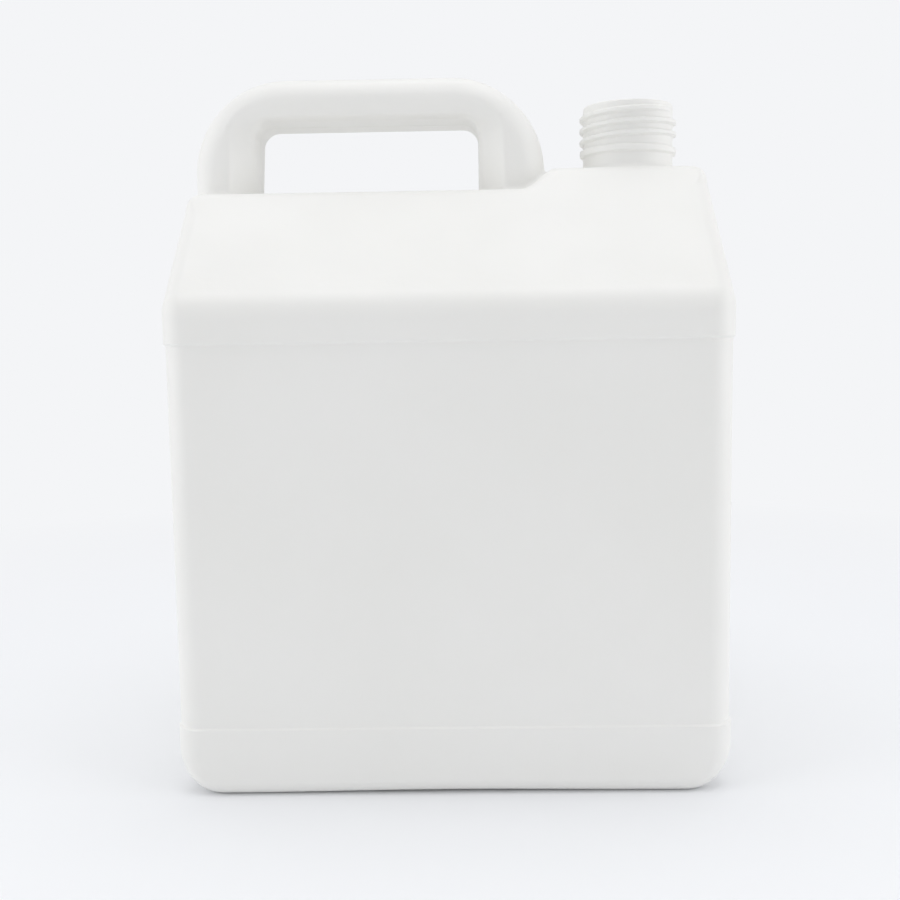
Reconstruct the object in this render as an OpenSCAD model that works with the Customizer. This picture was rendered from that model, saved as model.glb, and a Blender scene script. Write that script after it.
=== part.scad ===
// Square blow-moulded jug: one hollow shell with a loop handle and a threaded neck.
// Millimetres. +X to the neck, +Z up, the front looks along -Y. Origin: middle of the base.

/* [Body] */
// Width across the front
body_w = 191.5; // [188:0.5:230]
// Depth from front to back
body_d = 147; // [125:1:180]
// Height at which the front wall bends into the sloping roof
shoulder_h = 167.5; // [120:0.5:220]
// Thickness of the blown wall
wall = 1.5; // [1:0.1:2]
// Radius of the four upright corners
corner_r = 9; // [6:0.5:14]
// Radius of the lower corners, seen from the front
foot_r = 16; // [8:1:20]
// Radius of the lower front and back edges
heel_r = 5; // [4:0.5:10]
// Radius of the bend between the front wall and the roof
shoulder_r = 12; // [6:1:20]

/* [Label zone] */
// Height of the lower edge of the label zone
label_bottom = 23.8; // [21:0.1:40]
// Distance from the shoulder down to the label zone
label_drop = 13; // [12:0.1:40]
// How far the label zone is set in all round
label_inset = 0.6; // [0.4:0.1:1.2]

/* [Base] */
// How far the middle of the base is pushed up
push_up = 2; // [1:0.5:4]
// Width of the ring that the jug stands on
stand_ring = 12; // [8:1:20]

/* [Decks] */
// Rise from the shoulder to the low deck below the handle
deck_rise = 41; // [30:0.5:60]
// How much higher the deck round the neck is
step_h = 8.4; // [4:0.2:12]
// Distance from the middle of the step to the middle of the neck
step_to_neck = 35.4; // [32:0.1:40]
// Length over which the step rises
step_run = 14; // [8:0.5:16]
// Depth of the high deck, front to back
deck_d = 42; // [40:1:60]
// Radius of the decks' outer ends, seen from the front
deck_end_r = 5; // [1.8:0.1:6]

/* [Handle] */
// Width over both legs, counted from the jug's end wall
handle_w = 132.2; // [124:0.2:136]
// Radius of the handle's upper corners
handle_corner_r = 35; // [16:1:38]
// Thickness of the handle, front to back
handle_t = 34; // [26:1:38]
// Rounding of the handle's outer edges
handle_edge_r = 8; // [4:0.5:10]
// Height of the bar above the finger hole
bar_h = 16.1; // [15:0.1:24]

/* [Finger hole] */
// Width of the leg between the jug's end wall and the finger hole
leg_w = 23.4; // [19:0.1:26]
// Width of the finger hole
hole_w = 84; // [76:0.2:86]
// Height of the finger hole above the low deck
hole_h = 27.7; // [20:0.1:40]
// Radius of the finger hole's upper corners
hole_r = 6; // [3:0.5:10]
// Width of the bevel round the hole
bevel_w = 9.5; // [5:0.5:10]
// Depth of the bevel above the hole
bevel_depth = 3.4; // [1:0.1:4]
// Depth that the bevel beside the hole has grown to at the low deck
bevel_foot_depth = 10.8; // [5:0.1:11]

/* [Neck] */
// Distance from the middle of the neck to the jug's other end wall
neck_end = 26.8; // [24:0.1:30]
// Outer radius of the neck below the thread's crests
neck_r = 16.9; // [16.2:0.1:17.5]
// Radius of the mouth
bore_r = 15; // [12:0.1:15.2]
// Height of the rim above the high deck
neck_h = 24.8; // [24:0.2:34]
// Height of the transfer bead above the high deck
bead_rise = 6; // [4:0.2:7]
// Thickness of the bead
bead_t = 2.6; // [1.6:0.2:3]
// How far the bead stands out from the neck
bead_out = 1.3; // [0.6:0.1:2]

/* [Thread] */
// Rise of the thread in one turn
thread_pitch = 4.3; // [3:0.1:5]
// Turns of the thread
thread_turns = 2.7; // [1:0.1:2.7]
// Where the thread's lower end lies, in degrees from the jug's end wall towards the back
thread_start = 90; // [60:5:180]
// How far the thread stands out from the neck
thread_out = 1.4; // [0.8:0.1:1.6]
// Height of the thread's section where it leaves the neck
thread_base = 2.6; // [1.6:0.1:2.8]
// Height of the thread's crest
thread_crest = 1; // [0.4:0.1:1.4]
// Distance from the rim down to the middle of the thread's upper end
thread_drop = 2.6; // [2:0.1:5]

/* [Hidden] */

low_deck = shoulder_h + deck_rise;
high_deck = low_deck + step_h;
rim_z = high_deck + neck_h;
hole_top = low_deck + hole_h;
handle_top = hole_top + bar_h;
label_h = shoulder_h - label_drop - label_bottom;
handle_x = (handle_w - body_w) / 2;
hole_x = leg_w + (hole_w - body_w) / 2;
neck_x = body_w / 2 - neck_end;
step_x = neck_x - step_to_neck;
roof_angle = atan2(high_deck - shoulder_h, (body_d - deck_d) / 2);
// A cut reaches this far past what it cuts
past = 2;
// Steps of an arc in an outline, and of a full round inside a hull
arc_steps = 6;
hull_fn = 40;
// How far the handle and the neck reach down into the body
sunk = 6;

function unit(v) = v / norm(v);

// Rounds the corner at b, on the way from a to c, with radius r
function round_corner(a, b, c, r) =
    let (
        to_a = unit(a - b),
        to_c = unit(c - b),
        half = acos(to_a * to_c) / 2,
        middle = b + unit(to_a + to_c) * r / sin(half),
        start = b + to_a * r / tan(half) - middle,
        end = b + to_c * r / tan(half) - middle,
        first = atan2(start.y, start.x),
        turn = (atan2(end.y, end.x) - first + 540) % 360 - 180
    )
    [
        for (i = [0:arc_steps])
            let (at = first + turn * i / arc_steps)
            middle + r * [cos(at), sin(at)]
    ];

// An outline through corners given as [x, y, radius], where radius 0 stays sharp
function rounded(corners) =
    let (count = len(corners))
    [
        for (i = [0:count - 1])
            let (
                b = corners[i],
                a = corners[(i + count - 1) % count],
                c = corners[(i + 1) % count]
            )
            each b.z > 0 ? round_corner([a.x, a.y], [b.x, b.y], [c.x, c.y], b.z) : [[b.x, b.y]]
    ];

// A rectangle of width w and height h round the origin, with corner radius r
function rounded_rectangle(w, h, r) =
    rounded([[-w / 2, -h / 2, r], [w / 2, -h / 2, r], [w / 2, h / 2, r], [-w / 2, h / 2, r]]);

// Extrudes an outline drawn in X and Z along Y, the same way both sides of Y = 0
module along_y(depth) {
    rotate([90, 0, 0]) linear_extrude(depth, center = true) children();
}

// Extrudes an outline drawn in Y and Z along X
module along_x(width) {
    rotate([90, 0, 90]) linear_extrude(width, center = true) children();
}

// The body seen from above, set in by an even margin
module plan(inset) {
    polygon(rounded_rectangle(body_w - 2 * inset, body_d - 2 * inset, corner_r - inset));
}

// The body seen from the front: lower corners, high deck, S-shaped step, low deck
module front_outline(inset) {
    side = body_w / 2 - inset;
    end_r = max(deck_end_r - inset, 0.2);
    // The step's line moves aside with the margin, so that its slope keeps the wall
    aside = 0.45 * inset;
    step_points = 2 * arc_steps;
    step = [
        for (i = [step_points:-1:0])
            let (part = i / step_points)
            [
                step_x + aside + step_run * (part - 0.5),
                low_deck - inset + step_h * (1 - cos(180 * part)) / 2,
                0
            ]
    ];
    polygon(rounded(concat(
        [
            [-side, inset, foot_r - inset],
            [side, inset, foot_r - inset],
            [side, high_deck - inset, end_r]
        ],
        step,
        [[-side, low_deck - inset, end_r]]
    )));
}

// The body seen from the side: lower edges, upright walls, roof and high deck
module side_outline(inset) {
    wall_y = body_d / 2 - inset;
    shoulder_z = shoulder_h - inset * tan((90 - roof_angle) / 2);
    deck_y = deck_d / 2 - inset * tan(roof_angle / 2);
    deck_z = high_deck - inset;
    bend_r = shoulder_r - inset;
    polygon(rounded([
        [-wall_y, inset, heel_r - inset],
        [wall_y, inset, heel_r - inset],
        [wall_y, shoulder_z, bend_r],
        [deck_y, deck_z, 0],
        [-deck_y, deck_z, 0],
        [-wall_y, shoulder_z, bend_r]
    ]));
}

// What is taken off the body for the label zone, which runs all round it
module label_zone(inset) {
    depth = label_inset + inset;
    translate([0, 0, label_bottom - inset]) linear_extrude(label_h + 2 * inset) difference() {
        square([body_w + 2 * past, body_d + 2 * past], center = true);
        polygon(rounded_rectangle(body_w - 2 * depth, body_d - 2 * depth, corner_r - depth));
    }
}

// The pushed-up middle of the base
module base_push_up(inset) {
    pad = rounded_rectangle(
        body_w - 2 * foot_r - 2 * stand_ring + 2 * inset,
        body_d - 2 * heel_r - 2 * stand_ring + 2 * inset,
        corner_r + inset
    );
    translate([0, 0, -past]) linear_extrude(past + push_up + inset) polygon(pad);
}

// The body as a solid form, set in by an even margin on every side
module body_form(inset) {
    difference() {
        intersection() {
            linear_extrude(high_deck + past) plan(inset);
            along_y(body_d + 2 * past) front_outline(inset);
            along_x(body_w + 2 * past) side_outline(inset);
        }
        label_zone(inset);
        base_push_up(inset);
    }
}

// A disc that lies in the X-Z plane, with rounded rims: one corner of the handle
module handle_corner(r, inset) {
    rim = handle_edge_r - inset;
    half = handle_t / 2 - inset;
    quarter = [
        for (i = [0:arc_steps])
            let (turn = 90 * i / arc_steps)
            [r - rim + rim * cos(turn), half - rim + rim * sin(turn)]
    ];
    profile = concat(
        [[0, half]],
        [for (i = [arc_steps:-1:0]) quarter[i]],
        [for (p = quarter) [p.x, -p.y]],
        [[0, -half]]
    );
    rotate([90, 0, 0]) rotate_extrude($fn = hull_fn) polygon(profile);
}

// The handle without its hole, with rounded outer edges, set in by a margin
module handle_slab(inset) {
    foot = handle_edge_r + 2;
    hull() {
        for (side = [-1, 1]) {
            translate([
                handle_x + side * (handle_w / 2 - handle_corner_r),
                0,
                handle_top - handle_corner_r
            ])
                handle_corner(handle_corner_r - inset, inset);
            translate([handle_x + side * (handle_w / 2 - foot), 0, low_deck - sunk])
                handle_corner(foot - inset, inset);
        }
    }
}

// The outline of the finger hole seen from the front, wider and higher by a margin
function hole_outline(bottom, margin) =
    let (side = hole_w / 2 + margin, top = hole_top + margin)
    rounded([
        [-side, bottom, 0],
        [side, bottom, 0],
        [side, top, hole_r + margin],
        [-side, top, hole_r + margin]
    ]);

// Where the bevel's inner rim lies, from the middle plane, with the margin square to the bevel
function bevel_rim(depth, inset) =
    let (angle = atan2(depth, bevel_w))
    handle_t / 2 - depth - inset * (1 / cos(angle) - tan(angle));

// The finger hole as a solid plug with its bevels, wider by a margin
module finger_hole(inset) {
    bottom = low_deck - 3 * sunk;
    face_y = handle_t / 2 - inset;
    top_y = bevel_rim(bevel_depth, inset);
    foot_y = bevel_rim(bevel_foot_depth, inset);
    tilt = atan2(top_y - foot_y, hole_h);
    outer = inset + bevel_w * (face_y - foot_y) / bevel_foot_depth;
    // The bevel spans from a thin plate at the inner rim, which leans, to the handle's face
    rim_t = 0.01;
    translate([hole_x, 0, 0]) {
        along_y(handle_t + 2 * past) polygon(hole_outline(bottom, inset));
        for (turn = [0, 180])
            rotate([0, 0, turn]) hull() {
                translate([0, -top_y, hole_top]) rotate([90 + tilt, 0, 0])
                    linear_extrude(rim_t) translate([0, -hole_top])
                        polygon(hole_outline(bottom, inset));
                translate([0, -face_y, 0]) rotate([90, 0, 0])
                    linear_extrude(past + inset) polygon(hole_outline(bottom, outer));
            }
    }
}

// The handle as a solid form: its slab kept within the body's sides, less the hole
module handle_form(inset) {
    bottom = low_deck - sunk;
    difference() {
        intersection() {
            handle_slab(inset);
            translate([inset - body_w / 2, -body_d / 2, bottom])
                cube([body_w - 2 * inset, body_d, handle_top + past - bottom]);
        }
        finger_hole(inset);
    }
}

// Outside of the neck with its bead and a small fillet to the deck
module neck_form() {
    lip = 0.8;
    fillet = 2;
    bead_z = high_deck + bead_rise;
    bead_r = neck_r + bead_out;
    soft = bead_t / 4;
    profile = concat(
        [[0, high_deck - sunk], [neck_r + fillet, high_deck - sunk]],
        [
            for (i = [0:arc_steps])
                let (turn = 90 * i / arc_steps)
                [neck_r + fillet * (1 - sin(turn)), high_deck + fillet * (1 - cos(turn))]
        ],
        [
            [neck_r, bead_z],
            [bead_r - soft, bead_z],
            [bead_r, bead_z + soft],
            [bead_r, bead_z + bead_t - soft],
            [bead_r - soft, bead_z + bead_t],
            [neck_r, bead_z + bead_t + soft],
            [neck_r, rim_z - lip],
            [neck_r - lip, rim_z],
            [0, rim_z]
        ]
    );
    translate([neck_x, 0, 0]) rotate_extrude($fn = 96) polygon(profile);
}

// The right-hand thread: one trapezoid carried round the neck, fading out at both ends
module thread() {
    per_turn = 32;
    rings = ceil(thread_turns * per_turn);
    root = neck_r - 0.5;
    top_z = rim_z - thread_drop;
    // Part of a turn over which the thread rises to its full height
    fade = 0.15;
    function height(t) = max(0.12, min(1, t / fade, (thread_turns - t) / fade));
    function ring(t) =
        let (
            crest_r = neck_r + thread_out * height(t),
            z = top_z - thread_pitch * (thread_turns - t),
            turn = thread_start + 360 * t,
            around = [cos(turn), sin(turn)]
        )
        [
            [root * around.x, root * around.y, z - thread_base / 2],
            [crest_r * around.x, crest_r * around.y, z - thread_crest / 2],
            [crest_r * around.x, crest_r * around.y, z + thread_crest / 2],
            [root * around.x, root * around.y, z + thread_base / 2]
        ];
    points = [for (i = [0:rings]) each ring(thread_turns * i / rings)];
    sides = [
        for (i = [0:rings - 1])
            for (k = [0:3])
                let (a = 4 * i + k, b = 4 * i + (k + 1) % 4)
                each [[a, a + 4, b], [b, a + 4, b + 4]]
    ];
    last = 4 * rings;
    ends = [[0, 1, 2], [0, 2, 3], [last + 2, last + 1, last], [last + 3, last + 2, last]];
    translate([neck_x, 0, 0]) polyhedron(points, concat(sides, ends));
}

// The jug: its outer form less the same form set in by the wall, opened through the neck
module jug() {
    color("whitesmoke") difference() {
        union() {
            body_form(0);
            handle_form(0);
            neck_form();
            thread();
        }
        body_form(wall);
        handle_form(wall);
        translate([neck_x, 0, high_deck - wall - past])
            cylinder(h = neck_h + wall + 2 * past, r = bore_r, $fn = 96);
    }
}

jug();
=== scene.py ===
"""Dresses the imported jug: one smooth moulded shell, its plastic, and a pale studio."""

import math

import bpy
import numpy as np
from mathutils import Matrix, Vector


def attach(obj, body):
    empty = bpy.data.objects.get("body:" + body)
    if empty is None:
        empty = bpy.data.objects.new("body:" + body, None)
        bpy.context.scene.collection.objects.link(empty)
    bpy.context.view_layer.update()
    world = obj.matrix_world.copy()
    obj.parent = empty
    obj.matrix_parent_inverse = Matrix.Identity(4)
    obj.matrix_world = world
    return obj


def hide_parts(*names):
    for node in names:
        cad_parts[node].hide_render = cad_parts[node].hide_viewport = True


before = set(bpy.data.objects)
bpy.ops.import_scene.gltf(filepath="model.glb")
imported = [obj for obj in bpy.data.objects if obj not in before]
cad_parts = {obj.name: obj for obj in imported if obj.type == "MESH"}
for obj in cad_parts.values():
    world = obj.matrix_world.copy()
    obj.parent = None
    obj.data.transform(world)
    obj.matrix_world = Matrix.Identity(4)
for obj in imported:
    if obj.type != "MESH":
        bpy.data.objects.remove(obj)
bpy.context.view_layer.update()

# The jug's sizes in millimetres, as its CAD source has them
HALF_W = 95.75
HALF_D = 73.5
WALL = 1.5
SHOULDER_Z = 167.5
SHOULDER_R = 12.0
LOW_DECK = 208.5
HIGH_DECK = 216.9
DECK_HALF_D = 21.0
DECK_END_R = 5.0
ROOF_END_R = 7.5
RIDGE_R = 2.2
STEP_X = 33.55
STEP_RUN = 14.0
CORNER_R = 9.0
FOOT_R = 16.0
HEEL_R = 5.0
LABEL_LOW = 23.8
LABEL_HIGH = 154.5
LABEL_INSET = 0.6
LABEL_STEP = 0.9
PUSH_UP = 2.0
STAND_RING = 12.0
RING_BOW = 0.6
WELD_H = 0.45
WELD_HALF_D = 0.8
WELD_HALF_W = 66.0

HANDLE_TOP = 252.3
HANDLE_RIGHT = 36.45
HANDLE_CORNER_R = 35.0
HANDLE_HALF_T = 17.0
HANDLE_EDGE_R = 10.0
HANDLE_SUNK = 18.0
HANDLE_FILLET = 3.0
HOLE_X = -30.35
HOLE_HALF_W = 42.0
HOLE_TOP = 236.2
HOLE_R = 6.0
HOLE_EDGE_R = 2.0
BEVEL_W = 9.5
BEVEL_DEPTH = 3.4
BEVEL_FOOT_DEPTH = 10.8
BEVEL_EDGE_R = 0.6

NECK_X = 68.95
NECK_R = 16.9
NECK_SUNK = 6
NECK_EDGE_R = 0.7
NECK_FILLET = 2.0
BORE_R = 15.0
MOUTH_EDGE_R = 0.5
MOUTH_INNER_R = 1.0
RIM_Z = 241.7
BEAD_R = 18.2
BEAD_Z = 224.2
BEAD_HALF_T = 1.3
BEAD_FILLET = 0.5
PITCH = 4.3
TURNS = 2.7
THREAD_OUT = 1.4
THREAD_BASE = 2.6
THREAD_CREST = 1.0
THREAD_TOP = RIM_Z - 2.6
THREAD_START = 0.25

# The parting line is a fine ridge in the middle plane. The form keeps this much inside
# the CAD box so that the ridge just reaches it.
RIDGE = 0.15
RIDGE_HALF_W = 0.4

ROOF_ANGLE = math.atan2(HIGH_DECK - SHOULDER_Z, HALF_D - DECK_HALF_D)
ROOF_SIN = math.sin(ROOF_ANGLE)
ROOF_COS = math.cos(ROOF_ANGLE)

# Height inside the mouth at which the outer and the inner surface are joined
JOIN_Z = 228.0
# Where the round column of the mouth ends below, inside the body
MOUTH_FOOT = 206.0

# Triangles that the outer and the inner surface are thinned to
OUTER_TRIANGLES = 140000
INNER_TRIANGLES = 26000

# The colour of the paper round the jug, and its strength as a light in front and behind
SURROUND = (0.905, 0.913, 0.930, 1)
ROOM = 0.60
PAPER = 0.8

# The floor in metres: its radius, and where it starts and stops to fade into the paper
FLOOR_RADIUS = 1.2
FADE_START = 0.25
FADE_END = 0.6

# The soft lights: width and height of the boxes in metres, and their powers in watts
SIDE_BOX = (1.1, 1.1)
TOP_BOX = (1.3, 1.3)
SIDE_POWER = 5.0
TOP_POWER = 6.2


def smooth_step(t):
    """0 below t = 0, 1 above t = 1, and a smooth rise between."""
    t = np.clip(t, 0.0, 1.0)
    return t * t * (3.0 - 2.0 * t)


def round_max(a, b, r):
    """Where both forms are, with the edge between them rounded by r."""
    corner = np.hypot(np.maximum(a + r, 0.0), np.maximum(b + r, 0.0))
    return np.minimum(np.maximum(a, b), -r) + corner


def round_min(a, b, r):
    """Where either form is, with a fillet of r between them."""
    return -round_max(-a, -b, r)


def share_of_second(a, b, r):
    """How far the surface of round_max(a, b, r) faces as b does, from 0 to 1."""
    from_a = np.maximum(a + r, 0.0) ** 2
    from_b = np.maximum(b + r, 0.0) ** 2
    total = from_a + from_b
    return np.where(total > 1e-9, from_b / np.maximum(total, 1e-9), (b > a) * 1.0)


def convex(px, pz, corners):
    """Distance to a convex outline through (x, z, radius) corners, anticlockwise."""
    count = len(corners)
    distance = np.full(np.broadcast(px, pz).shape, -1e9)
    points = [np.array(c[:2], float) for c in corners]
    along = []
    for i in range(count):
        step = points[(i + 1) % count] - points[i]
        step /= np.linalg.norm(step)
        along.append(step)
        plane = (px - points[i][0]) * step[1] - (pz - points[i][1]) * step[0]
        distance = np.maximum(distance, plane)
    for i, (_, _, r) in enumerate(corners):
        if r <= 0:
            continue
        before, after = along[i - 1], along[i]
        half = math.acos(np.clip(-before @ after, -1.0, 1.0)) / 2
        inwards = after - before
        middle = points[i] + inwards / np.linalg.norm(inwards) * r / math.sin(half)
        vx, vz = px - middle[0], pz - middle[1]
        inside = (vx * before[0] + vz * before[1] >= 0) & (vx * after[0] + vz * after[1] <= 0)
        distance = np.where(inside, np.hypot(vx, vz) - r, distance)
    return distance


def deck_height(x):
    """Height and slope of the deck, which rises in an S towards the neck."""
    part = np.clip((x - STEP_X) / STEP_RUN + 0.5, 0.0, 1.0)
    rise = HIGH_DECK - LOW_DECK
    height = LOW_DECK + rise * (1 - np.cos(math.pi * part)) / 2
    slope = rise * math.pi / STEP_RUN * np.sin(math.pi * part) / 2
    return height, slope


def base_height(x, y):
    """Height of the underside: a ring to stand on, a pushed-up middle, a weld line."""
    qx = np.abs(x) - (HALF_W - FOOT_R - STAND_RING)
    qy = np.abs(y) - (HALF_D - HEEL_R - STAND_RING)
    pad = round_max(qx, qy, CORNER_R)
    height = PUSH_UP * smooth_step(0.5 - pad / 8)
    # The long sides of the ring bow up a little between the corners
    height = height + RING_BOW * smooth_step(1.0 - np.abs(x) / 76)
    weld = np.clip(1 - (y / WELD_HALF_D) ** 2, 0.0, 1.0) * smooth_step((WELD_HALF_W - np.abs(x)) / 3)
    return height - WELD_H * weld


def body(x, y, z):
    """The body with its roof, decks, label zone and base."""
    inset = LABEL_INSET * smooth_step((z - LABEL_LOW) / LABEL_STEP + 0.5)
    inset = inset * (1 - smooth_step((z - LABEL_HIGH) / LABEL_STEP + 0.5))
    end = np.abs(x) - (HALF_W - RIDGE - inset)
    underside = base_height(x, y) - z
    tube = round_max(end, underside, FOOT_R)
    low_share = share_of_second(end, underside, FOOT_R)
    height, slope = deck_height(x)
    deck = (z - height) / np.sqrt(1 + slope**2)
    # A reach past the edges' own radius keeps the blend of radii smooth on the surface
    deck_share = share_of_second(tube, deck, ROOF_END_R + 0.5)
    tube = round_max(tube, deck, DECK_END_R)

    side_y = np.abs(y)
    wall = side_y - (HALF_D - inset)
    roof = (side_y - HALF_D) * ROOF_SIN + (z - SHOULDER_Z) * ROOF_COS
    back = SHOULDER_R * math.tan((math.pi / 2 - ROOF_ANGLE) / 2)
    vy, vz = side_y - (HALF_D - SHOULDER_R), z - (SHOULDER_Z - back)
    in_bend = (vz >= 0) & (vy * ROOF_COS - vz * ROOF_SIN >= 0)
    length = np.hypot(vy, vz)
    side = np.where(in_bend, length - SHOULDER_R, np.maximum(wall, roof))
    roof_share = np.where(in_bend, vz / np.maximum(length, 1e-9) / ROOF_COS, (roof > wall) * 1.0)

    end_r = CORNER_R + (ROOF_END_R - CORNER_R) * roof_share
    low_share = low_share * (1 - deck_share)
    r = (1 - low_share - deck_share) * end_r + low_share * HEEL_R + deck_share * RIDGE_R
    return round_max(side, tube, r)


def handle(x, y, z):
    """The loop handle with rounded outer edges and a bevelled finger hole."""
    foot = LOW_DECK - HANDLE_SUNK
    top = HANDLE_TOP - RIDGE
    outline = convex(x, z, [
        (RIDGE - HALF_W, foot, 0),
        (HANDLE_RIGHT, foot, 0),
        (HANDLE_RIGHT, top, HANDLE_CORNER_R),
        (RIDGE - HALF_W, top, HANDLE_CORNER_R),
    ])
    slab = round_max(outline, np.abs(y) - HANDLE_HALF_T, HANDLE_EDGE_R)
    hole = round_max(np.abs(x - HOLE_X) - HOLE_HALF_W, z - HOLE_TOP, HOLE_R)
    # The bevel deepens down the legs, and curves over towards the hole above it
    above = share_of_second(np.abs(x - HOLE_X) - HOLE_HALF_W, z - HOLE_TOP, HOLE_R)
    down = np.clip((HOLE_TOP - z) / (HOLE_TOP - LOW_DECK), 0.0, 1.1)
    depth = BEVEL_DEPTH + (BEVEL_FOOT_DEPTH - BEVEL_DEPTH) * down
    part = np.clip(1 - hole / BEVEL_W, 0.0, 1.0)
    curved = 1 - np.sqrt(1 - 0.97 * part**2)
    straight = 1 - hole / BEVEL_W
    sunk = depth * (straight + (curved - straight) * above * (straight > 0))
    bevel = np.abs(y) - (HANDLE_HALF_T - sunk)
    bevel = bevel / np.hypot(1, depth / BEVEL_W)
    return round_max(round_max(slab, bevel, BEVEL_EDGE_R), -hole, HOLE_EDGE_R)


def thread_height(turn, z):
    """How far the thread stands out at a part of a turn and a height."""
    out = np.zeros(np.broadcast(turn, z).shape)
    half = THREAD_BASE / 2
    slant = (THREAD_BASE - THREAD_CREST) / 2
    for k in range(math.ceil(TURNS)):
        t = turn + k
        dz = np.abs(z - (THREAD_TOP - PITCH * (TURNS - t)))
        fade = smooth_step(np.minimum(t, TURNS - t) / 0.15)
        out = np.maximum(out, smooth_step((half - dz) / slant) * fade)
    return THREAD_OUT * out


def neck(x, y, z):
    """The neck with its thread, rim and bead."""
    rho = np.hypot(x - NECK_X, y)
    turn = (np.arctan2(y, x - NECK_X) / (2 * math.pi) - THREAD_START) % 1.0
    tube = (rho - NECK_R - thread_height(turn, z)) * 0.8
    tube = round_max(round_max(tube, z - RIM_Z, NECK_EDGE_R), HIGH_DECK - NECK_SUNK - z, NECK_EDGE_R)
    bead = round_max(rho - BEAD_R, np.abs(z - BEAD_Z) - BEAD_HALF_T, NECK_EDGE_R)
    return round_min(tube, bead, BEAD_FILLET)


def unevenness(x, y, z):
    """The faint waviness of blown walls, always inwards."""
    wave = np.sin(x / 23 + 1.3) * np.sin(z / 31 + 0.4) + np.sin(y / 19 + z / 37 + 2.0)
    wave = wave + 0.6 * np.sin(x / 11 - z / 17) * np.sin(y / 13 + 0.7)
    return 0.07 + 0.025 * wave


def form(x, y, z):
    """Body and handle as one form, negative inside."""
    joined = round_min(body(x, y, z), handle(x, y, z), HANDLE_FILLET)
    joined = joined + unevenness(x, y, z) * smooth_step((z - 1) / 6) * smooth_step((250 - z) / 4)
    # The fillet between the two stays behind the end walls that they share
    return np.maximum(joined, np.abs(x) - (HALF_W - RIDGE))


def mouth(x, y, z):
    """The round column of the mouth, from inside the body upwards."""
    return np.maximum(np.hypot(x - NECK_X, y) - BORE_R, MOUTH_FOOT - z)


def outside(x, y, z):
    """The whole outer form with the neck, the mouth and the parting line."""
    solid = round_min(form(x, y, z), neck(x, y, z), NECK_FILLET)
    ridge = np.clip(1 - (y / RIDGE_HALF_W) ** 2, 0.0, 1.0)
    ridge = ridge * smooth_step((z - 1.5) / 4) * smooth_step((RIM_Z - 1 - z) / 1.0 + (x < 45) * 99)
    solid = solid - RIDGE * ridge
    return round_max(solid, -mouth(x, y, z), MOUTH_EDGE_R)


def cavity(x, y, z):
    """The space inside: the same form set in by the wall, open through the neck."""
    return round_min(form(x, y, z) + WALL, mouth(x, y, z), MOUTH_INNER_R)


def levels(start, *spans):
    """Grid levels from start through (end, step) spans."""
    found = [np.array([start])]
    at = start
    for end, step in spans:
        count = max(1, round((end - at) / step))
        found.append(np.linspace(at, end, count + 1)[1:])
        at = end
    return np.concatenate(found)


def gradient(field, p, eps=0.02):
    """The direction in which a field rises, at points given as rows."""
    g = np.empty_like(p)
    for axis in range(3):
        ahead, behind = p.copy(), p.copy()
        ahead[:, axis] += eps
        behind[:, axis] -= eps
        g[:, axis] = (field(*ahead.T) - field(*behind.T)) / (2 * eps)
    return g


def settle(field, p, rounds, reach):
    """Moves points onto the surface where the field is zero, by at most reach."""
    start = p.copy()
    for _ in range(rounds):
        g = gradient(field, p)
        p = p - (field(*p.T) / np.maximum((g * g).sum(1), 0.05))[:, None] * g
        p = start + np.clip(p - start, -reach, reach)
    return p


def surface(field, xs, ys, zs):
    """Vertices and quads of the surface where a field is zero, on an uneven grid."""
    values = np.empty((len(xs), len(ys), len(zs)), np.float32)
    for i, x in enumerate(xs):
        values[i] = field(x, ys[:, None], zs[None, :])
    inside = values < 0
    shape = tuple(n - 1 for n in inside.shape)
    axes = (xs, ys, zs)
    total = np.zeros(shape + (3,))
    hits = np.zeros(shape, np.int32)
    quads = []
    cells = np.arange(np.prod(shape)).reshape(shape)
    for axis in range(3):
        u, v = [k for k in range(3) if k != axis]
        low = [slice(None)] * 3
        high = [slice(None)] * 3
        low[axis], high[axis] = slice(None, -1), slice(1, None)
        crossed = np.argwhere(inside[tuple(low)] != inside[tuple(high)])
        a = values[tuple(low)][tuple(crossed.T)].astype(float)
        b = values[tuple(high)][tuple(crossed.T)].astype(float)
        part = a / (a - b)
        place = np.stack([axes[k][crossed[:, k]] for k in range(3)], 1)
        span = np.diff(axes[axis])[crossed[:, axis]]
        place[:, axis] += part * span
        around = []
        for du, dv in ((-1, -1), (0, -1), (0, 0), (-1, 0)):
            cell = crossed.copy()
            cell[:, u] += du
            cell[:, v] += dv
            fits = ((cell >= 0) & (cell < np.array(shape))).all(1)
            where = tuple(cell[fits].T)
            np.add.at(total, where, place[fits])
            np.add.at(hits, where, 1)
            around.append(np.where(fits, np.ravel_multi_index(
                tuple(np.clip(cell, 0, np.array(shape) - 1).T), shape), -1))
        quad = np.stack(around, 1)
        keep = (quad >= 0).all(1)
        quad, leaving = quad[keep], (a < 0)[keep]
        if axis == 1:
            leaving = ~leaving
        quad[~leaving] = quad[~leaving][:, ::-1]
        quads.append(quad)
    quads = np.concatenate(quads)
    used = cells[hits > 0]
    number = np.full(cells.size, -1)
    number[used] = np.arange(len(used))
    points = total[hits > 0] / hits[hits > 0][:, None]
    reach = [np.diff(k) for k in axes]
    i, j, k = np.unravel_index(used, shape)
    reach = 0.7 * np.stack([reach[0][i], reach[1][j], reach[2][k]], 1)
    return settle(field, points, 3, reach), number[quads]


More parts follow.
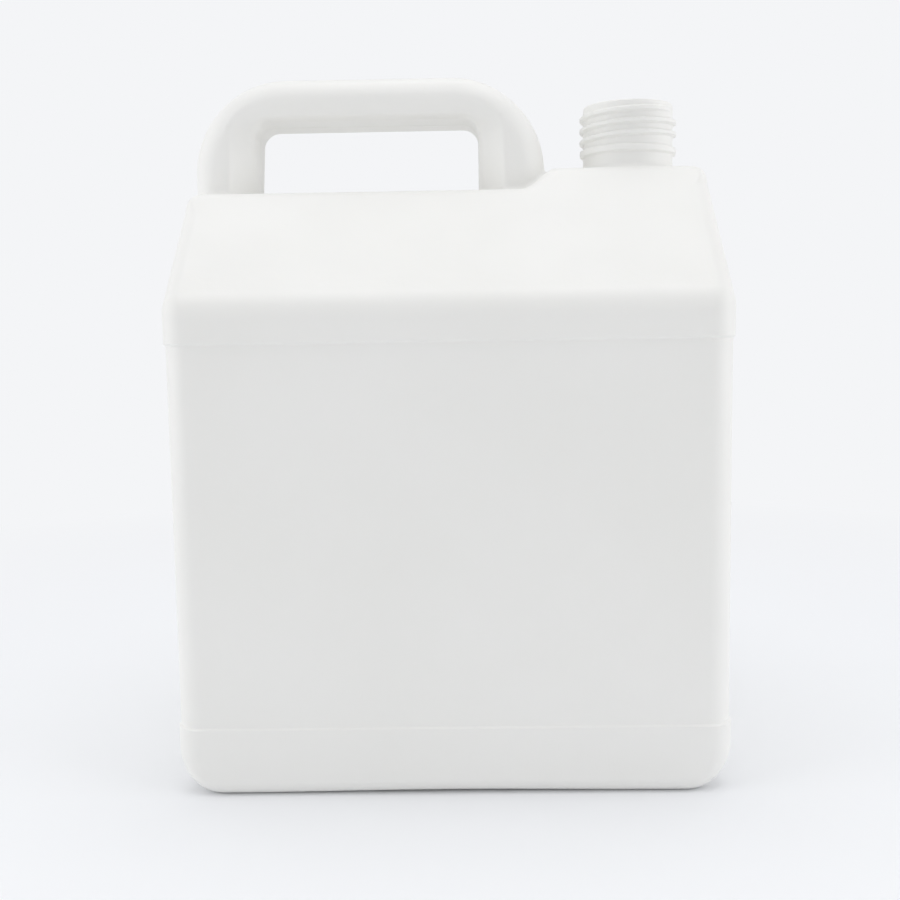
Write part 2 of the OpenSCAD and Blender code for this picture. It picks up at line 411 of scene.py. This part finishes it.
def part_mesh(name, points, faces, thinned_to):
    """A mesh with its flat stretches thinned to a number of triangles, as arrays."""
    mesh = bpy.data.meshes.new(name)
    mesh.from_pydata(points.tolist(), [], faces.tolist())
    thing = bpy.data.objects.new(name, mesh)
    bpy.context.scene.collection.objects.link(thing)
    thin = thing.modifiers.new("thin", "DECIMATE")
    thin.ratio = min(1.0, thinned_to / (2 * len(faces)))
    thin.use_collapse_triangulate = True
    graph = bpy.context.evaluated_depsgraph_get()
    done = thing.evaluated_get(graph).to_mesh()
    found = np.empty(3 * len(done.vertices))
    done.vertices.foreach_get("co", found)
    done.calc_loop_triangles()
    corners = np.empty(3 * len(done.loop_triangles), np.int32)
    done.loop_triangles.foreach_get("vertices", corners)
    bpy.data.objects.remove(thing)
    bpy.data.meshes.remove(mesh)
    return found.reshape(-1, 3), corners.reshape(-1, 3)


def open_ring(points, faces):
    """The vertices along the open edge of a surface, in order round the neck."""
    edges = np.concatenate([faces[:, [0, 1]], faces[:, [1, 2]], faces[:, [2, 0]]])
    key = np.sort(edges, 1)
    _, first, count = np.unique(key, axis=0, return_index=True, return_counts=True)
    ring = np.unique(key[first[count == 1]])
    angle = np.arctan2(points[ring, 1], points[ring, 0] - NECK_X)
    order = np.argsort(angle)
    return ring[order], angle[order]


def bridge(upper, upper_angle, lower, lower_angle):
    """Triangles between two rings of vertices that go round the same way."""
    faces = []
    i = j = 0
    n, m = len(upper), len(lower)
    while i < n or j < m:
        next_up = upper_angle[(i + 1) % n] + (2 * math.pi if i + 1 >= n else 0)
        next_low = lower_angle[(j + 1) % m] + (2 * math.pi if j + 1 >= m else 0)
        if j >= m or (i < n and next_up <= next_low):
            faces.append((upper[i % n], lower[j % m], upper[(i + 1) % n]))
            i += 1
        else:
            faces.append((upper[i % n], lower[j % m], lower[(j + 1) % m]))
            j += 1
    return np.array(faces)


def kept(points, faces, keep):
    """A surface with only the faces whose vertices are all kept."""
    faces = faces[keep[faces].all(1)]
    used = np.unique(faces)
    number = np.full(len(points), -1)
    number[used] = np.arange(len(used))
    return points[used], number[faces]


def make_shell():
    """The jug's whole surface, outside and inside, joined in the mouth."""
    xs = levels(-97.0, (-87, 1.0), (-77, 1.2), (-71.0, 0.7), (-65, 1.4), (4, 4.4), (9.8, 1.4),
                (13.8, 0.7), (27, 1.3), (48, 1.1), (90, 0.6), (97, 1.0))
    half = levels(0.0, (0.6, 0.2), (1.0, 0.4), (18.8, 0.62), (23.2, 0.7), (28.2, 1.2), (31.8, 0.6),
                  (60, 2.0), (74.6, 1.0))
    ys = np.concatenate([-half[:0:-1], half])
    zs = levels(-1.0, (6.5, 0.75), (22.6, 1.4), (25, 0.27), (153.2, 4.8), (155.8, 0.27),
                (160, 1.1), (176, 1.3), (204.5, 2.0), (214, 0.6), (218.6, 0.45), (222.6, 0.5),
                (242.4, 0.38), (253.6, 0.85))
    points, faces = surface(outside, xs, ys, zs)
    in_mouth = np.hypot(points[:, 0] - NECK_X, points[:, 1]) < BORE_R + 0.4
    in_mouth &= (points[:, 2] > MOUTH_FOOT - 1) & (points[:, 2] < JOIN_Z)
    points, faces = kept(points, faces, ~in_mouth)
    points, faces = part_mesh("outer", points, faces, OUTER_TRIANGLES)
    points = settle(outside, points, 2, 0.3)
    outer_normal = gradient(outside, points)

    xs = levels(-96.2, (-91, 1.1), (-70, 2.0), (7, 6.5), (26, 2.0), (46, 2.4), (91, 1.5), (96.2, 1.1))
    half = levels(0.0, (19, 1.7), (32, 2.0), (62, 4.0), (74, 1.6))
    ys = np.concatenate([-half[:0:-1], half])
    zs = levels(0.2, (8, 1.3), (20, 2.5), (27, 1.2), (151, 8.0), (157, 1.2), (178, 2.5),
                (204, 3.0), (219, 1.0), (235, 1.5), (253, 1.5))
    inner, inner_faces = surface(cavity, xs, ys, zs)
    in_mouth = np.hypot(inner[:, 0] - NECK_X, inner[:, 1]) < BORE_R + 0.6
    inner, inner_faces = kept(inner, inner_faces, ~in_mouth | (inner[:, 2] < JOIN_Z))
    inner, inner_faces = part_mesh("inner", inner, inner_faces, INNER_TRIANGLES)
    inner = settle(cavity, inner, 2, 0.5)
    inner_normal = -gradient(cavity, inner)

    upper, upper_angle = open_ring(points, faces)
    lower, lower_angle = open_ring(inner, inner_faces)
    count = len(points)
    joint = bridge(upper, upper_angle, lower + count, lower_angle)[:, ::-1]
    points = np.concatenate([points, inner])
    faces = np.concatenate([faces, inner_faces[:, ::-1] + count, joint])
    normals = np.concatenate([outer_normal, inner_normal])
    normals /= np.linalg.norm(normals, axis=1)[:, None]

    mesh = bpy.data.meshes.new("jug_shell")
    mesh.from_pydata((points / 1000).tolist(), [], faces.tolist())
    mesh.validate()
    mesh.polygons.foreach_set("use_smooth", [True] * len(mesh.polygons))
    mesh.normals_split_custom_set_from_vertices(normals.tolist())
    mesh.update()
    shell = bpy.data.objects.new("jug_shell", mesh)
    bpy.context.scene.collection.objects.link(shell)
    return shell


def socket_noise(nodes, links, place, scale, detail, rough=0.5):
    """A noise texture on a place, and its factor socket."""
    node = nodes.new("ShaderNodeTexNoise")
    node.inputs["Scale"].default_value = scale
    node.inputs["Detail"].default_value = detail
    node.inputs["Roughness"].default_value = rough
    links.new(place, node.inputs["Vector"])
    return node.outputs["Fac"]


def span(nodes, links, value, low, high, from_low=0.3, from_high=0.7):
    """A value carried from one range to another."""
    node = nodes.new("ShaderNodeMapRange")
    node.inputs["From Min"].default_value = from_low
    node.inputs["From Max"].default_value = from_high
    node.inputs["To Min"].default_value = low
    node.inputs["To Max"].default_value = high
    links.new(value, node.inputs["Value"])
    return node.outputs["Result"]


def plastic():
    """Natural-white blown polyethylene: satin, faintly grained, slightly cloudy."""
    material = bpy.data.materials.new("natural_white_plastic")
    material.use_nodes = True
    nodes, links = material.node_tree.nodes, material.node_tree.links
    shader = nodes["Principled BSDF"]
    place = nodes.new("ShaderNodeTexCoord").outputs["Object"]

    cloud = socket_noise(nodes, links, place, 14.0, 3.0)
    tint = nodes.new("ShaderNodeMix")
    tint.data_type = "RGBA"
    tint.inputs["A"].default_value = (0.872, 0.868, 0.842, 1)
    tint.inputs["B"].default_value = (0.892, 0.887, 0.866, 1)
    links.new(span(nodes, links, cloud, 0.0, 1.0), tint.inputs["Factor"])
    links.new(tint.outputs["Result"], shader.inputs["Base Color"])

    # Streaks that run the way the hot tube was drawn, up the jug
    stretch = nodes.new("ShaderNodeMapping")
    stretch.inputs["Scale"].default_value = (1.0, 1.0, 0.06)
    links.new(place, stretch.inputs["Vector"])
    streak = socket_noise(nodes, links, stretch.outputs["Vector"], 260.0, 3.0)
    handled = socket_noise(nodes, links, place, 42.0, 5.0, 0.6)
    mixed = nodes.new("ShaderNodeMath")
    mixed.operation = "MULTIPLY_ADD"
    mixed.inputs[1].default_value = 0.35
    links.new(streak, mixed.inputs[0])
    links.new(handled, mixed.inputs[2])
    links.new(span(nodes, links, mixed.outputs[0], 0.36, 0.52, 0.5, 0.85), shader.inputs["Roughness"])

    grain = socket_noise(nodes, links, place, 2400.0, 2.0)
    fine = nodes.new("ShaderNodeBump")
    fine.inputs["Strength"].default_value = 0.25
    fine.inputs["Distance"].default_value = 0.00006
    links.new(grain, fine.inputs["Height"])
    peel = socket_noise(nodes, links, place, 330.0, 2.0)
    soft = nodes.new("ShaderNodeBump")
    soft.inputs["Strength"].default_value = 0.3
    soft.inputs["Distance"].default_value = 0.00012
    links.new(peel, soft.inputs["Height"])
    links.new(fine.outputs["Normal"], soft.inputs["Normal"])
    drawn = nodes.new("ShaderNodeBump")
    drawn.inputs["Strength"].default_value = 0.25
    drawn.inputs["Distance"].default_value = 0.0001
    links.new(streak, drawn.inputs["Height"])
    links.new(soft.outputs["Normal"], drawn.inputs["Normal"])
    links.new(drawn.outputs["Normal"], shader.inputs["Normal"])

    shader.inputs["IOR"].default_value = 1.54
    shader.inputs["Subsurface Weight"].default_value = 0.04
    shader.inputs["Subsurface Radius"].default_value = (1.0, 0.95, 0.85)
    shader.inputs["Subsurface Scale"].default_value = 0.001
    return material


def pale_floor():
    """A matt floor that fades into the pale surround far from the jug."""
    material = bpy.data.materials.new("pale_floor")
    material.use_nodes = True
    nodes, links = material.node_tree.nodes, material.node_tree.links
    nodes.remove(nodes["Principled BSDF"])
    place = nodes.new("ShaderNodeTexCoord").outputs["Object"]
    far = nodes.new("ShaderNodeVectorMath")
    far.operation = "LENGTH"
    links.new(place, far.inputs[0])
    share = span(nodes, links, far.outputs["Value"], 0.0, 1.0, FADE_START, FADE_END)
    matt = nodes.new("ShaderNodeBsdfDiffuse")
    matt.inputs["Color"].default_value = (0.895, 0.903, 0.920, 1)
    glow = nodes.new("ShaderNodeEmission")
    glow.inputs["Color"].default_value = SURROUND
    mix = nodes.new("ShaderNodeMixShader")
    links.new(share, mix.inputs["Fac"])
    links.new(matt.outputs[0], mix.inputs[1])
    links.new(glow.outputs[0], mix.inputs[2])
    links.new(mix.outputs[0], nodes["Material Output"].inputs["Surface"])
    return material


def floor_disc():
    """A round floor below the jug."""
    mesh = bpy.data.meshes.new("floor")
    angles = np.linspace(0, 2 * math.pi, 129)[:-1]
    rim = [(FLOOR_RADIUS * math.cos(a), FLOOR_RADIUS * math.sin(a), 0) for a in angles]
    mesh.from_pydata(rim, [], [list(range(128))])
    floor = bpy.data.objects.new("floor", mesh)
    bpy.context.scene.collection.objects.link(floor)
    return floor


def soft_light(name, place, target, size, power):
    """A large soft light at a place, facing a target, that no view shows."""
    light = bpy.data.lights.new(name, "AREA")
    light.shape = "RECTANGLE"
    light.size, light.size_y = size
    light.energy = power
    thing = bpy.data.objects.new(name, light)
    thing.location = place
    thing.rotation_euler = (Vector(target) - Vector(place)).to_track_quat("-Z", "Y").to_euler()
    thing.visible_camera = False
    bpy.context.scene.collection.objects.link(thing)


def studio():
    """White paper behind the jug, which every view sees all round, and a dim room in front."""
    world = bpy.data.worlds.new("surround")
    world.use_nodes = True
    nodes, links = world.node_tree.nodes, world.node_tree.links
    seen = nodes["Background"]
    seen.inputs["Color"].default_value = SURROUND
    room = nodes.new("ShaderNodeBackground")
    room.inputs["Color"].default_value = SURROUND
    way = nodes.new("ShaderNodeSeparateXYZ")
    links.new(nodes.new("ShaderNodeTexCoord").outputs["Generated"], way.inputs[0])
    paper = span(nodes, links, way.outputs["Y"], ROOM, PAPER, -0.2, 0.4)
    links.new(paper, room.inputs["Strength"])
    mix = nodes.new("ShaderNodeMixShader")
    links.new(nodes.new("ShaderNodeLightPath").outputs["Is Camera Ray"], mix.inputs["Fac"])
    links.new(room.outputs[0], mix.inputs[1])
    links.new(seen.outputs[0], mix.inputs[2])
    links.new(mix.outputs[0], nodes["World Output"].inputs["Surface"])
    bpy.context.scene.world = world
    soft_light("left_box", (-1.16, -0.31, 0.45), (0, 0, 0.14), SIDE_BOX, SIDE_POWER)
    soft_light("right_box", (1.16, -0.31, 0.45), (0, 0, 0.14), SIDE_BOX, SIDE_POWER)
    soft_light("top_box", (0, 0, 1.45), (0, 0, 0.1), TOP_BOX, TOP_POWER)


def photo_camera():
    """The camera where the photograph was taken from, level but for a slight roll."""
    pitch, yaw, roll = (math.radians(a) for a in (6.25, -1.01, 0.90))
    ahead = Vector((math.sin(yaw) * math.cos(pitch), math.cos(yaw) * math.cos(pitch), -math.sin(pitch)))
    right = Vector((math.cos(yaw), -math.sin(yaw), 0))
    up = right.cross(ahead)
    across = right * math.cos(roll) - up * math.sin(roll)
    upwards = right * math.sin(roll) + up * math.cos(roll)
    camera = bpy.data.cameras.new("camera")
    camera.lens = 44.45
    camera.sensor_width = 36
    thing = bpy.data.objects.new("camera", camera)
    turned = Matrix((across, upwards, -ahead)).transposed().to_4x4()
    thing.matrix_world = Matrix.Translation((0.00664, -0.43799, 0.15867)) @ turned
    bpy.context.scene.collection.objects.link(thing)
    bpy.context.scene.camera = thing


photo_camera()
shell = make_shell()
shell.data.materials.append(plastic())
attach(shell, "root")
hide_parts("jug")

floor = floor_disc()
floor.data.materials.append(pale_floor())

studio()
bpy.context.scene.view_settings.view_transform = "Standard"
